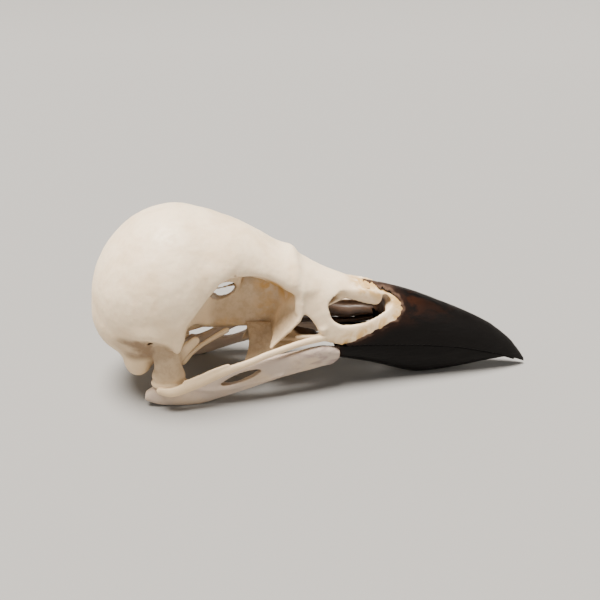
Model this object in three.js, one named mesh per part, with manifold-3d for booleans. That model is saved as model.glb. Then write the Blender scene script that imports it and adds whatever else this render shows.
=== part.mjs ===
// Skull of a rook with its horny beak, lower jaw in place, resting on the jaw. Millimetres, +X to the beak
// tip, +Y to the bird's left, +Z up. Sizes are laid out from the back of the braincase (x = 0) and the floor
// (z = 0), and the whole skull is then moved so that its origin is the middle of its footprint.
import * as THREE from "three";
import { mergeVertices } from "three/addons/utils/BufferGeometryUtils.js";
import Module from "manifold-3d";

const wasm = await Module();
wasm.setup();

// Driving dimensions
const JOINT_GAP = 0.3; // between bones that touch
const BRAINCASE = { centre: [14.9, 0, 22], radii: [15.9, 15.4, 13.7], pitch: -0.98 };
const OCCIPUT = { centre: [12.4, 0, 17.2], radii: [12.3, 13.2, 9.6] };
const TEMPLE = { centre: [13.2, 9.4, 17], radii: [6.6, 5.9, 5.6] };
const EYE_SOCKET = { centre: [29.5, 11.7, 15.6], radii: [11.2, 11.6, 10.7] };
const HINGE_X = 41.4; // bending line between forehead and beak
const BEAK_TIP_X = 91.5;
const SEPTUM_THICK = 1.0;
const PLATE_THICK = 0.9;
const NOSTRIL = { rearX: 45.9, frontX: 59.6, z: 17.3, up: 3.6, down: 2.9 };
const JAW_END_X = 47.3; // where the horny sheath of the lower beak starts
const SADDLE = 0.6; // height of the small flats that the skull stands on

const BONE = new THREE.MeshStandardMaterial({ color: 0xe9dfd0, roughness: 0.55, metalness: 0 });
const HORN = new THREE.MeshStandardMaterial({ color: 0x17110f, roughness: 0.35, metalness: 0 });

// Smooth value along x through a few [x, value] pairs.
function along(table) {
  return (x) => {
    const last = table.length - 1;
    if (x <= table[0][0]) return table[0][1];
    if (x >= table[last][0]) return table[last][1];
    const i = table.findIndex((pair, k) => k < last && x < table[k + 1][0]);
    const at = (k) => table[Math.min(last, Math.max(0, k))];
    const slope = (k) => (at(k + 1)[1] - at(k - 1)[1]) / (at(k + 1)[0] - at(k - 1)[0]);
    const span = at(i + 1)[0] - at(i)[0];
    const t = (x - at(i)[0]) / span;
    const bend = t * t * (3 - 2 * t);
    const rise = span * (t * (1 - t) * (1 - t) * slope(i) - t * t * (1 - t) * slope(i + 1));
    return at(i)[1] * (1 - bend) + at(i + 1)[1] * bend + rise;
  };
}

const clamp01 = (value) => Math.min(1, Math.max(0, value));
const signedPower = (value, power) => Math.sign(value) * Math.abs(value) ** power;

// A closed geometry as a solid with its faces pointing out.
function solidOf(geometry) {
  const bare = new THREE.BufferGeometry().setAttribute("position", geometry.getAttribute("position"));
  bare.setIndex(geometry.index);
  const merged = mergeVertices(bare, 1e-4);
  const triVerts = [];
  const index = merged.index.array;
  for (let i = 0; i < index.length; i += 3) {
    const [a, b, c] = [index[i], index[i + 1], index[i + 2]];
    if (a !== b && b !== c && c !== a) triVerts.push(a, b, c);
  }
  const build = (triangles) =>
    new wasm.Manifold(
      new wasm.Mesh({
        numProp: 3,
        vertProperties: merged.attributes.position.array,
        triVerts: new Uint32Array(triangles),
      }),
    );
  const made = build(triVerts);
  return made.volume() > 0 ? made : build(triVerts.reverse());
}

// The largest closed body of a solid, as a geometry.
function geometryOf(solid) {
  const bodies = solid.decompose().sort((a, b) => b.volume() - a.volume());
  const mesh = bodies[0].getMesh();
  const geometry = new THREE.BufferGeometry();
  geometry.setAttribute("position", new THREE.BufferAttribute(mesh.vertProperties, mesh.numProp));
  geometry.setIndex(new THREE.BufferAttribute(mesh.triVerts, 1));
  return geometry;
}

const join = (...solids) => solids.reduce((whole, next) => whole.add(next));
const mirrored = (solid) => solid.mirror([0, 1, 0]);
const bothSides = (solid) => solid.add(mirrored(solid));
const cut = (whole, ...cutters) => cutters.reduce((rest, next) => rest.subtract(next), whole);

// Cuts a bone clear of its neighbour, leaving the joint gap on every side that faces it.
function clearOf(bone, neighbour, directions) {
  const shifted = directions.map((way) => neighbour.translate(way.map((part) => part * JOINT_GAP)));
  return cut(bone, neighbour, ...shifted);
}

// Moves every vertex of a geometry to where shape puts it.
function reshape(geometry, shape) {
  const position = geometry.getAttribute("position");
  for (let i = 0; i < position.count; i++) {
    position.setXYZ(i, ...shape(position.getX(i), position.getY(i), position.getZ(i)));
  }
  return geometry;
}

// An ellipsoid. A fullness over 2 makes it boxier; pitch turns it about Y, nose down.
function ball({ centre, radii }, { around = 20, rings = 14, fullness = 2, pitch = 0 } = {}) {
  const geometry = new THREE.SphereGeometry(1, around, rings).rotateX(Math.PI / 2);
  reshape(geometry, (x, y, z) => {
    const sum = Math.abs(x) ** fullness + Math.abs(y) ** fullness + Math.abs(z) ** fullness;
    const size = sum ** (-1 / fullness);
    return [x * size * radii[0], y * size * radii[1], z * size * radii[2]];
  });
  geometry.rotateY(pitch).translate(...centre);
  return solidOf(geometry);
}

// A solid with one ring of points at each x of stations. section(x, angle, reach) gives [y, z], and reach
// is 0 on the axis.
function loft(stations, sides, section) {
  const rings = stations.length - 1;
  const geometry = new THREE.CylinderGeometry(1, 1, 1, sides, rings);
  reshape(geometry, (px, py, pz) => {
    const x = stations[Math.round((0.5 - py) * rings)];
    return [x, ...section(x, Math.atan2(px, pz), Math.hypot(px, pz))];
  });
  return solidOf(geometry);
}

// A rod through points, each [x, y, z, half width, half height], with a rounded section. The height of an
// upright rod is measured along x.
function strut(points, { sides = 8, steps = 10, upright = false } = {}) {
  const curve = new THREE.CatmullRomCurve3(points.map(([x, y, z]) => new THREE.Vector3(x, y, z)));
  const width = along(points.map((point, i) => [i / (points.length - 1), point[3]]));
  const height = along(points.map((point, i) => [i / (points.length - 1), point[4] ?? point[3]]));
  const up = upright ? new THREE.Vector3(1, 0, 0) : new THREE.Vector3(0, 0, 1);
  const geometry = new THREE.CylinderGeometry(1, 1, 1, sides, steps);
  reshape(geometry, (px, py, pz) => {
    const t = 0.5 - py;
    const tangent = curve.getTangent(t);
    const across = new THREE.Vector3().crossVectors(tangent, up).normalize();
    const over = new THREE.Vector3().crossVectors(across, tangent);
    const at = curve.getPoint(t).addScaledVector(across, px * width(t)).addScaledVector(over, pz * height(t));
    return [at.x, at.y, at.z];
  });
  return solidOf(geometry);
}

// A thin curved plate. surface(u, v) gives its middle at u and v from 0 to 1.
function sheet(surface, thick, { acrossU = 6, acrossV = 6 } = {}) {
  const step = 1e-3;
  const geometry = new THREE.BoxGeometry(1, 1, 1, acrossU, acrossV, 1);
  reshape(geometry, (pu, pv, pw) => {
    const [u, v] = [pu + 0.5, pv + 0.5];
    const middle = new THREE.Vector3(...surface(u, v));
    const alongU = new THREE.Vector3(...surface(u + step, v)).sub(middle);
    const alongV = new THREE.Vector3(...surface(u, v + step)).sub(middle);
    const normal = alongU.cross(alongV).normalize();
    const at = middle.addScaledVector(normal, pw * thick);
    return [at.x, at.y, at.z];
  });
  return solidOf(geometry);
}

// A prism with an outline of [x, z] corners, seen from the side, from one y to another.
function prism(outline, from, to) {
  const shape = new THREE.Shape(outline.map(([x, z]) => new THREE.Vector2(x, z)));
  const geometry = new THREE.ExtrudeGeometry(shape, { depth: to - from, bevelEnabled: false });
  reshape(geometry, (x, z, depth) => [x, from + depth, z]);
  return solidOf(geometry);
}

// Evenly spaced numbers, both ends included.
const spaced = (from, to, count) =>
  Array.from({ length: count }, (_, i) => from + ((to - from) * i) / (count - 1));

// Outline of the head along x
const foreheadTop = along([[14, 36.6], [21.6, 36.6], [25.3, 35.3], [29.1, 33.9], [33, 32], [36.9, 29.6],
  [38.7, 29.1], [39.9, 28.5], [40.7, 27.3], [HINGE_X, 26.5]]);
const socketRimZ = along([[14, 17], [20.5, 21.2], [23.4, 24.1], [26.2, 26.2], [28.5, 26.4], [31.3, 25.5],
  [34.2, 24.4], [37, 23.2], [HINGE_X, 21.4]]);
const foreheadHalfWidth = along([[14, 13], [20.5, 13.6], [23.4, 12.9], [26.2, 11.6], [28.5, 10.2], [31.3, 8.7],
  [34.2, 8], [37, 8.1], [39.4, 8.3], [HINGE_X, 8]]);

// Outline of the beak along x
const culmenZ = along([[HINGE_X, 26.5], [45, 24.5], [49.1, 22.9], [53.2, 21.6], [57.6, 20.6], [62.3, 19.4],
  [66.2, 18.1], [71.1, 16.1], [76.9, 13.6], [82.2, 10.8], [87, 7.2], [89.4, 4.6], [BEAK_TIP_X, 1.9]]);
const tomiumZ = along([[HINGE_X, 11.8], [47, 10.6], [55, 9.8], [67.3, 8.3], [74, 7.2], [79, 5.9], [85, 4],
  [89.4, 2.2], [BEAK_TIP_X, 1.3]]);
const beakHalfWidth = along([[HINGE_X, 8.1], [47, 8.2], [52, 7.5], [58, 6.4], [64, 5.5], [70, 4.7], [76, 3.8],
  [82, 2.8], [87, 1.7], [90, 0.8], [BEAK_TIP_X, 0.25]]);
const beakFullness = along([[HINGE_X, 3.2], [47, 2.5], [56, 2], [BEAK_TIP_X, 1.8]]);
const gonysZ = along([[JAW_END_X, 6.3], [55, 4], [62, 1.6], [66, 0.45], [70, 0.45], [76, 1.1], [82, 2.1],
  [88.8, 3.1]]);

// The upper beak as one solid, from the forehead hinge to the tip, with a shallow arch for the palate.
function upperBeak(palateArch = 1.2) {
  const stations = [...spaced(HINGE_X + JOINT_GAP, 61, 12), ...spaced(63, 88, 10), 89.8, 91, BEAK_TIP_X];
  return loft(stations, 28, (x, angle, reach) => {
    const round = 2 / beakFullness(x);
    const y = reach * beakHalfWidth(x) * signedPower(Math.cos(angle), round);
    const rise = Math.sin(angle) > 0 ? culmenZ(x) - tomiumZ(x) : -palateArch * beakHalfWidth(x) / 8;
    return [y, tomiumZ(x) + reach * rise * signedPower(Math.sin(angle), round)];
  });
}

// Braincase, forehead, eye sockets and what is fused to them
function cranium() {
  const forehead = loft(spaced(14, HINGE_X, 18), 26, (x, angle, reach) => {
    const rise = Math.sin(angle) > 0 ? foreheadTop(x) - socketRimZ(x) : 1.5;
    return [reach * foreheadHalfWidth(x) * Math.cos(angle), socketRimZ(x) + reach * rise * Math.sin(angle)];
  });
  const vault = ball(BRAINCASE, { around: 36, rings: 22, fullness: 2.05, pitch: BRAINCASE.pitch });
  const occiput = ball(OCCIPUT, { around: 28, rings: 18, fullness: 2.2 });
  const skullBase = ball({ centre: [12.5, 0, 10.6], radii: [7.5, 7.6, 3.3] });
  const temples = bothSides(ball(TEMPLE, { around: 22, rings: 14 }));
  const throat = ball({ centre: [25.4, 0, 4.3], radii: [9.2, 15, 8.9] },
    { around: 24, rings: 16, fullness: 2.6 });
  const spinalHole = ball({ centre: [2.9, 0, 9.4], radii: [3.2, 3.1, 3.4] });
  const sockets = bothSides(ball(EYE_SOCKET, { around: 30, rings: 20, fullness: 2.15 }));
  const cheekGaps = bothSides(
    ball({ centre: [21, 10, 10.4], radii: [5.2, 9, 5.5] }, { around: 20, rings: 14 }),
  );
  const solids = join(vault, forehead, occiput, skullBase, temples);
  const head = cut(solids, throat, spinalHole, sockets, cheekGaps);

  const septum = sheet((u, v) => [20 + 18.8 * u, 0, 12.4 + (13 - 2.5 * u) * v], SEPTUM_THICK);
  const septumHole = ball({ centre: [25.4, 0, 20.9], radii: [2.8, 6.4, 2.1] },
    { around: 14, rings: 10, pitch: -0.4 });
  const rostrum = strut([[15, 0, 11.6, 3, 1.8], [19.5, 0, 13.2, 1.9, 1.2], [25, 0, 12.9, 1.2, 1],
    [34, 0, 13, 0.9, 0.9], [39, 0, 13.1, 0.5, 0.6]]);
  const condyle = ball({ centre: [5.9, 0, 7.6], radii: [1.4, 1.4, 1.3] }, { around: 12, rings: 8 });
  const socketRim = strut([[26.2, 10.7, 26.5, 0.8, 0.8], [23.2, 11.5, 25.4, 1.1, 1.1],
    [20.5, 13.1, 22.6, 1.1, 1.1], [17.8, 13.8, 19.6, 1.2, 1.4], [16.7, 13.3, 17, 1.3, 1.6],
    [16.7, 13.6, 15, 0.9, 1.1], [16.9, 13.9, 13, 0.5, 0.6]], { steps: 12, upright: true });
  const earWing = ball({ centre: [8.8, 8.6, 10.2], radii: [2.8, 2.4, 3.9] }, { around: 16, rings: 12 });
  const pairs = [socketRim, earWing, lacrimalPlate()].map(bothSides);
  return cut(join(head, septum, rostrum, condyle, ...pairs), septumHole);
}

// The plate in front of each eye socket, from the septum out to a foot above the cheek bar
function lacrimalPlate() {
  const footZ = along([[0, 12.6], [0.5, 12.3], [0.85, 10.8], [1, 10.8]]);
  return sheet((u, v) => {
    const z = footZ(u) + (22.6 - footZ(u)) * v;
    const y = u * (8.9 - 0.9 * v);
    const forward = Math.max(0, y - 4.4) * clamp01((z - 11) / 6.6);
    return [Math.min(40.5, 36.8 + 0.38 * (z - 17) + forward), y, z];
  }, PLATE_THICK, { acrossU: 8, acrossV: 8 });
}

// The bone of the upper beak that the horn leaves bare, seen from the side
const BARE_BONE = [[40, 34], [61.6, 34], [61.6, 17], [60.6, 15], [58.6, 14], [55.4, 13], [51.6, 11.8],
  [48, 10.2], [46, 9], [40, 9]];

// The wedge of horn that runs back along the top of the beak
function culmenWedge(grow) {
  return loft([53.2 - grow, 55.5, 58, 60.4, 64], 16, (x, angle, reach) => {
    const half = (x - 53.2) * 0.56 + 0.12 + grow;
    const low = culmenZ(x) - 0.9 - (x - 53.2) * 0.21 - grow;
    const corner = (value) => signedPower(value, 0.35);
    return [reach * half * corner(Math.cos(angle)), 25 + reach * (25 - low) * corner(Math.sin(angle))];
  });
}

// The hollow inside the bare bone, open below
function noseCavity() {
  return loft(spaced(39, 57.8, 9), 20, (x, angle, reach) => {
    const height = culmenZ(x) - tomiumZ(x) - 1.9;
    const y = reach * (beakHalfWidth(x) - 1.35) * signedPower(Math.cos(angle), 0.7);
    const rise = Math.sin(angle) > 0 ? height * signedPower(Math.sin(angle), 0.8) : -3;
    return [y, tomiumZ(x) + reach * rise];
  });
}

// Nasal bones with the nostrils, the roof over them and the bars on both sides
function upperJaw(beak, cavity) {
  const length = NOSTRIL.frontX - NOSTRIL.rearX;
  const nostrilOutline = spaced(0, 2 * Math.PI, 25).slice(1).map((turn) => {
    const share = (1 + Math.cos(turn)) / 2;
    const height = Math.sin(turn) > 0 ? NOSTRIL.up : NOSTRIL.down;
    const z = NOSTRIL.z + height * Math.sin(turn) * (1 - 0.22 * share) + 0.3 * share;
    return [NOSTRIL.rearX + length * share, z];
  });
  const nostrils = prism(nostrilOutline, -12, 12);
  const cheekOutline = [[38, 13.1], [44.6, 13], [43.4, 14.9], [42, 16.9], [41, 17.5], [38, 17.5]];
  const cheekWindow = prism(cheekOutline, -12, 12);
  const belowCheek = prism([[38, 4], [47, 4], [47, 11.2], [43.5, 11.6], [38, 11.9]], -12, 12);
  const bare = cut(beak.intersect(prism(BARE_BONE, -15, 15)), culmenWedge(0));
  const scrolls = bothSides(strut([[46.6, 2.6, 20.4, 1, 1.2], [50.5, 3.3, 19.7, 0.8, 1.3],
    [54.5, 3.1, 18.9, 0.8, 1.7], [57.2, 2.8, 18.3, 0.8, 1.5]], { steps: 8 }));
  return join(cut(bare, cavity, nostrils, cheekWindow, belowCheek), scrolls);
}

// Horn of the upper beak
function upperSheath(beak, cavity) {
  const grownBone = BARE_BONE.map(([x, z]) => [x + JOINT_GAP, z - JOINT_GAP * 0.8]);
  const front = cut(beak, prism(grownBone, -15, 15), cavity);
  const wedgeEnd = prism([[50, 5], [63, 5], [63, 30], [50, 30]], -9, 9);
  return join(front, beak.intersect(culmenWedge(-JOINT_GAP)).intersect(wedgeEnd));
}

// Horn of the lower beak, two arms behind and one blade in front
function lowerSheath() {
  const stations = [...spaced(JAW_END_X + JOINT_GAP, 66, 9), ...spaced(68.5, 86, 8), 88, 89.2];
  const whole = loft(stations, 24, (x, angle, reach) => {
    const top = tomiumZ(x) - JOINT_GAP - 0.1;
    const half = Math.max(0.2, beakHalfWidth(x) - 0.6);
    const low = Math.min(gonysZ(x), top - 0.5);
    const arm = Math.sin(angle) < 0 ? top - low : 0.05;
    const y = reach * half * signedPower(Math.cos(angle), 0.8);
    return [y, top + reach * arm * signedPower(Math.sin(angle), 0.75)];
  });
  const betweenArms = loft(spaced(44, 67, 8), 16, (x, angle, reach) => {
    const half = Math.max(0.3, (beakHalfWidth(x) - 2.9) * Math.sqrt(clamp01((67.5 - x) / 18)));
    const y = reach * half * signedPower(Math.cos(angle), 0.6);
    return [y, 5 + reach * 9 * signedPower(Math.sin(angle), 0.6)];
  });
  const floor = prism([[40, SADDLE], [95, SADDLE], [95, -5], [40, -5]], -15, 15);
  return cut(whole, betweenArms, floor);
}

// One side of the lower jaw behind the horn, with the window through its blade
function jawRamus() {
  const low = along([[10.2, 1.9], [12, 1], [15, 0.45], [20.5, 0.45], [24.7, 1.5], [29, 2.8], [34, 4.2],
    [39, 5.4], [44, 6.1], [JAW_END_X, 6.3]]);
  const high = along([[10.2, 3.3], [12, 4.4], [15, 5], [19, 5], [22, 6], [25, 7.7], [28, 8.9], [34, 9.7],
    [39, 10.2], [44, 10.8], [JAW_END_X, 10]]);
  const middleY = along([[10.2, 10.4], [15, 10.2], [22, 10.4], [29, 10.4], [36, 9.6], [42, 8.7],
    [JAW_END_X, 7.4]]);
  const halfThick = along([[10.2, 0.9], [13, 1.6], [17, 1.7], [21, 1.2], [26, 0.85], [34, 0.85],
    [42, 0.95], [JAW_END_X, 1]]);
  const blade = loft(spaced(10.2, JAW_END_X, 18), 14, (x, angle, reach) => [
    middleY(x) + reach * halfThick(x) * signedPower(Math.cos(angle), 0.75),
    (low(x) + high(x)) / 2 + (reach * (high(x) - low(x)) * signedPower(Math.sin(angle), 0.75)) / 2,
  ]);
  const innerSpur = strut([[15, 10, 2.7, 1.8, 1.6], [15.2, 8, 3, 1.3, 1.1], [15.6, 6.2, 3.6, 0.6, 0.6]],
    { steps: 6 });
  const jawWindow = prism([[24.7, 4.6], [26.3, 6.1], [28.8, 7.3], [31.6, 7.7], [32.5, 7.2], [30.4, 5.8],
    [27.3, 4.7]], 6, 14);
  const floor = prism([[5, SADDLE], [50, SADDLE], [50, -5], [5, -5]], -15, 15);
  return cut(join(blade, innerSpur), jawWindow, floor);
}

// The bone that carries the lower jaw, hung from the braincase
function quadrate() {
  const body = strut([[14.3, 11.1, 14.5, 1.8, 2.8], [14.6, 11.3, 12, 1.7, 2.6], [14.9, 11.2, 9.2, 1.6, 2.7],
    [14.9, 11, 7, 1.7, 3.1], [14.9, 10.9, 5.5, 2.1, 3.5]], { sides: 14, steps: 12, upright: true });
  const jawKnuckles = ball({ centre: [14.8, 10.5, 6], radii: [3.6, 2.9, 1.3] }, { around: 18, rings: 10 });
  const eyeSpur = strut([[15.6, 10.6, 9.6, 1.3, 2], [18, 9.2, 11.7, 0.9, 1.2], [20.7, 7.8, 13.3, 0.6, 0.8]],
    { steps: 7 });
  const palateKnuckle = strut([[15.4, 9.8, 7.6, 1.4, 1.4], [16.8, 8.6, 8, 0.9, 0.9]], { steps: 4 });
  return join(body, jawKnuckles, eyeSpur, palateKnuckle);
}

// The thin bar along the cheek, from the quadrate to the beak
const cheekBar = () =>
  strut([[12.8, 14, 5.3, 0.5, 0.8], [15.6, 14.2, 5, 0.7, 1.15], [19.4, 13.5, 6.3, 0.7, 1.35],
    [23.4, 12.9, 7.9, 0.65, 1.25], [26.6, 12.5, 8.8, 0.6, 0.95], [30, 12, 9.7, 0.6, 0.75],
    [34, 11.1, 10.9, 0.6, 0.75], [40, 9.4, 12.1, 0.65, 0.75], [46.2, 7.9, 12.4, 0.8, 0.8]], { steps: 20 });

// The rod from the quadrate to the middle of the skull's base
const pterygoid = () =>
  strut([[17.2, 8.3, 8.4, 0.8, 0.8], [20.5, 5.7, 10.3, 0.5, 0.55], [26.4, 1.9, 12.2, 0.6, 0.7]], { steps: 7 });

// One half of the bony palate: a shelf in front, and behind it a wing that slopes out and down
function palatine() {
  const innerY = along([[36, 2], [42, 2.9], [46, 3], [57.4, 2.2]]);
  const outerY = along([[36, 5.6], [40, 5.8], [44, 4.9], [50, 4.2], [57.4, 3.3]]);
  const shelfZ = along([[36, 11.3], [40, 11.3], [50, 11], [57.4, 11.6]]);
  const shelf = sheet((u, v) => {
    const x = 36 + 21.4 * u;
    return [x, innerY(x) + (outerY(x) - innerY(x)) * v, shelfZ(x)];
  }, PLATE_THICK, { acrossU: 12, acrossV: 3 });
  const ridgeZ = along([[29, 12.7], [34, 12.5], [38, 11.8], [44, 11.3]]);
  const keelZ = along([[29, 6.3], [32, 6.9], [38, 9], [44, 10.9]]);
  const wing = sheet((u, v) => {
    const rear = 30 + 0.8 * Math.sin(Math.PI * v) - 0.6 * v;
    const x = rear + (44 - rear) * u;
    const y = 1.2 + 1.3 * u + (4.1 - 0.9 * u) * v ** 0.7;
    return [x, y, ridgeZ(x) + (keelZ(x) - ridgeZ(x)) * v];
  }, PLATE_THICK, { acrossU: 8, acrossV: 7 });
  return join(shelf, wing);
}

// Bones in the order that they hang on each other: each is cut clear of those before it.
const beak = upperBeak();
const cavity = noseCavity();
const head = cranium();
const nasal = clearOf(upperJaw(beak, cavity), head, [[1, 0, 0], [0, 0, -1]]);
const ramus = jawRamus();
const carrier = clearOf(clearOf(quadrate(), head, [[0, 0, -1], [0.7, 0.7, 0]]), ramus, [[0, 0, 1]]);
const palateUnderHead = clearOf(palatine(), head, [[0, 0, -1], [0, 1, 0]]);
const palate = clearOf(palateUnderHead, nasal, [[-1, 0, 0], [0, -1, 0], [0, 0, -1]]);
const rodEnd = clearOf(pterygoid(), carrier, [[1, 0, 0], [0, -1, 0]]);
const cheek = clearOf(clearOf(cheekBar(), carrier, [[1, 0, 0], [0, 1, 0]]), ramus, [[0, 1, 0], [0, 0, 1]]);
const bones = new Map([
  ["cranium", [head, BONE]],
  ["upper_jaw", [nasal, BONE]],
  ["upper_beak_horn", [upperSheath(beak, cavity), HORN]],
  ["lower_beak_horn", [lowerSheath(), HORN]],
]);
const pairs = {
  mandible: ramus,
  quadrate: carrier,
  palatine: palate,
  jugal: clearOf(cheek, nasal, [[-1, 0, 0], [0, 0, -1]]),
  pterygoid: clearOf(clearOf(rodEnd, head, [[0, 0, -1], [0, 1, 0]]), palate, [[-1, 0, 0], [0, 0, 1]]),
};
for (const [name, solid] of Object.entries(pairs)) {
  bones.set(`${name}_left`, [solid, BONE]);
  bones.set(`${name}_right`, [mirrored(solid), BONE]);
}

// The whole skull, moved so that its origin is the middle of its footprint
const skull = new THREE.Group();
const laid = new THREE.Group();
for (const [name, [solid, material]] of bones) {
  const mesh = new THREE.Mesh(geometryOf(solid), material);
  mesh.name = name;
  laid.add(mesh);
}
const reach = new THREE.Box3().setFromObject(laid);
laid.position.set(-(reach.min.x + reach.max.x) / 2, -(reach.min.y + reach.max.y) / 2, -reach.min.z);
skull.add(laid);

export default skull;
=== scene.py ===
"""Dressed model of a rook skull on a pale studio floor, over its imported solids."""

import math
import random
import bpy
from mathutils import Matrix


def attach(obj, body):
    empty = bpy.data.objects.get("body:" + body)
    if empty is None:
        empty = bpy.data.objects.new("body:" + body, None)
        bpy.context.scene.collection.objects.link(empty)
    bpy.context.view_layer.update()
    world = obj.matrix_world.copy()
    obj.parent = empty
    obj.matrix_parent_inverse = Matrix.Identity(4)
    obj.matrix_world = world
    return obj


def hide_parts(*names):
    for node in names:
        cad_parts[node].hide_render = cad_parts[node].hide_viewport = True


bl_info = {
    "name": "Rook Skull",
    "version": (1, 0, 0),
    "blender": (4, 5, 0),
    "location": "3D View > Sidebar > Rook Skull",
    "description": "Makes a bird's skull in bone and horn, piece by piece",
    "category": "Add Mesh",
}

import bmesh
import bpy
from bpy.props import FloatProperty, FloatVectorProperty, IntProperty, PointerProperty
from mathutils import Matrix, Vector, noise
from mathutils.bvhtree import BVHTree

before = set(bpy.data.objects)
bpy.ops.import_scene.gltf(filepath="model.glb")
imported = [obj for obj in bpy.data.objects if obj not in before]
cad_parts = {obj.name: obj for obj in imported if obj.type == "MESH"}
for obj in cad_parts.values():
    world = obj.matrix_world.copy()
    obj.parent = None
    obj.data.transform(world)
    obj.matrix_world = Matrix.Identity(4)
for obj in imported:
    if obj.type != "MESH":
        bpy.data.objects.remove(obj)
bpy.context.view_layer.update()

# The skull is laid out in millimetres from the back of the braincase and then moved to the frame's origin
BACK_TO_MIDDLE = 45.8
FLOOR_HEIGHT = 0.6
HINGE_X = 41.4
BEAK_TIP_X = 91.5
JAW_END_X = 47.3
MM_PER_METRE = 1000

# How far a cut reaches to both sides, past the whole head or past the beak
THROUGH_HEAD = (-15, 15)
THROUGH_BEAK = (-12, 12)

# Steps of a curve between two corners, and rays that feel how shut in a place is, for the painted shade in
# hollows
STEPS_PER_CORNER = 6
SHADE_MASK_RAYS = 14


# Settings


class BraincaseSizes(bpy.types.PropertyGroup):
    """Sizes of the braincase and eye sockets"""

    length: FloatProperty(name="Length", description="Half length of the vault, mm", default=15.9, min=5)
    width: FloatProperty(name="Width", description="Half width of the vault, mm", default=15.4, min=5)
    height: FloatProperty(name="Height", description="Half height of the vault, mm", default=13.7, min=5)
    wall: FloatProperty(
        name="Wall", description="Thickness of the hollow braincase, mm", default=1.1, min=0.4
    )
    detail: FloatProperty(
        name="Detail", description="Grid that the bone is shaped on, mm", default=0.315, min=0.15
    )
    septum: FloatProperty(
        name="Septum", description="Wall between the eye sockets, mm", default=0.8, min=0.4
    )
    rim_bites: IntProperty(
        name="Rim bites", description="Small gaps in the rim of each eye socket", default=7, min=0
    )
    relief: FloatProperty(
        name="Relief", description="Height of the bone's uneven surface, mm", default=0.07, min=0
    )


class BeakSizes(bpy.types.PropertyGroup):
    """Sizes of the horn, and how finely the thin pieces are shaped"""

    detail: FloatProperty(
        name="Bone detail", description="Grid that the thin bones are shaped on, mm", default=0.22, min=0.15
    )
    horn_detail: FloatProperty(
        name="Horn detail", description="Grid that the horn is shaped on, mm", default=0.17, min=0.12
    )
    horn_proud: FloatProperty(
        name="Horn stands proud", description="Height of the horn over the bone, mm", default=0.14
    )
    ragged: FloatProperty(
        name="Ragged edge", description="How far the edge of the horn wanders, mm", default=0.28
    )
    gape: FloatProperty(
        name="Gape", description="Gap between upper and lower beak, mm", default=0.14, min=0.02
    )
    growth: FloatProperty(
        name="Growth lines", description="Height of the lines along the horn, mm", default=0.035
    )


class BoneFinish(bpy.types.PropertyGroup):
    """Colours of the bone, and of the painted shade laid on it"""

    bare: FloatVectorProperty(
        name="Bone", description="Clean bone", subtype="COLOR", default=(0.88, 0.715, 0.505)
    )
    # Warm: real warm patches in the mottling, and painted shade on the lower parts and beside the forehead's
    # crease
    warm_tone_and_shade: FloatVectorProperty(
        name="Warm", description="Warmer patches", subtype="COLOR", default=(0.68, 0.50, 0.30)
    )
    # Hollows: painted shade, the dark brown laid into recesses and onto parts in shadow; a little of it also
    # tints the fine mottling
    hollow: FloatVectorProperty(
        name="Hollows", description="Bone in recesses", subtype="COLOR", default=(0.24, 0.155, 0.085)
    )
    stain: FloatVectorProperty(
        name="Stain", description="Old grease stains", subtype="COLOR", default=(0.50, 0.27, 0.05)
    )
    # Nose: painted shade, the near-black brown inside the nose, where no light reaches
    nose: FloatVectorProperty(
        name="Nose", description="Dried lining of the nose", subtype="COLOR", default=(0.055, 0.028, 0.014)
    )
    # Jaw: the lower jaw's own greyer tone, darkened further as painted shade
    jaw: FloatVectorProperty(
        name="Jaw", description="Greyer bone of the lower jaw", subtype="COLOR", default=(0.46, 0.375, 0.325)
    )
    smear: FloatVectorProperty(
        name="Smears", description="Grey smears by the horn", subtype="COLOR", default=(0.30, 0.22, 0.20)
    )
    roughness: FloatProperty(
        name="Roughness", description="Roughness of clean bone", default=0.5, min=0, max=1
    )


class HornFinish(bpy.types.PropertyGroup):
    """Colours of the horn"""

    dark: FloatVectorProperty(
        name="Horn", description="Black horn", subtype="COLOR", default=(0.0042, 0.0035, 0.0033)
    )
    # Brown: the horn's own brown in mottled patches and at its thin edge, and painted sheen where light falls
    # on the top of the upper beak
    brown: FloatVectorProperty(
        name="Brown", description="Thin, lit horn", subtype="COLOR", default=(0.024, 0.0092, 0.0052)
    )
    # Pale: the dry, flaking edge, and a painted highlight on the ridge of the upper beak
    pale: FloatVectorProperty(
        name="Pale", description="Dry flaking edge", subtype="COLOR", default=(0.16, 0.10, 0.07)
    )
    roughness: FloatProperty(
        name="Roughness", description="Roughness of the horn", default=0.30, min=0, max=1
    )


class StageSettings(bpy.types.PropertyGroup):
    """Camera, floor and light"""

    turn: FloatProperty(
        name="Turn", description="Camera's turn round the skull", subtype="ANGLE", default=math.radians(7.64)
    )
    rise: FloatProperty(
        name="Rise", description="Camera's height over the skull", subtype="ANGLE",
        default=math.radians(23.16),
    )
    tilt: FloatProperty(
        name="Tilt", description="Camera's roll", subtype="ANGLE", default=math.radians(1.48)
    )
    distance: FloatProperty(name="Distance", description="Camera to skull, mm", default=139.12, min=50)
    across: FloatProperty(name="Across", description="Skull's shift in the picture, mm", default=3.778)
    over: FloatProperty(name="Over", description="Skull's shift up the picture, mm", default=-2.001)
    view_angle: FloatProperty(
        name="View angle", description="Camera's angle of view", subtype="ANGLE", default=math.radians(47.88)
    )
    floor: FloatVectorProperty(
        name="Floor", description="Pale studio floor", subtype="COLOR", default=(0.25, 0.246, 0.24)
    )
    key_power: FloatProperty(
        name="Key light", description="Strength of the high soft light", default=13.0, min=0
    )


# Shapes


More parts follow.
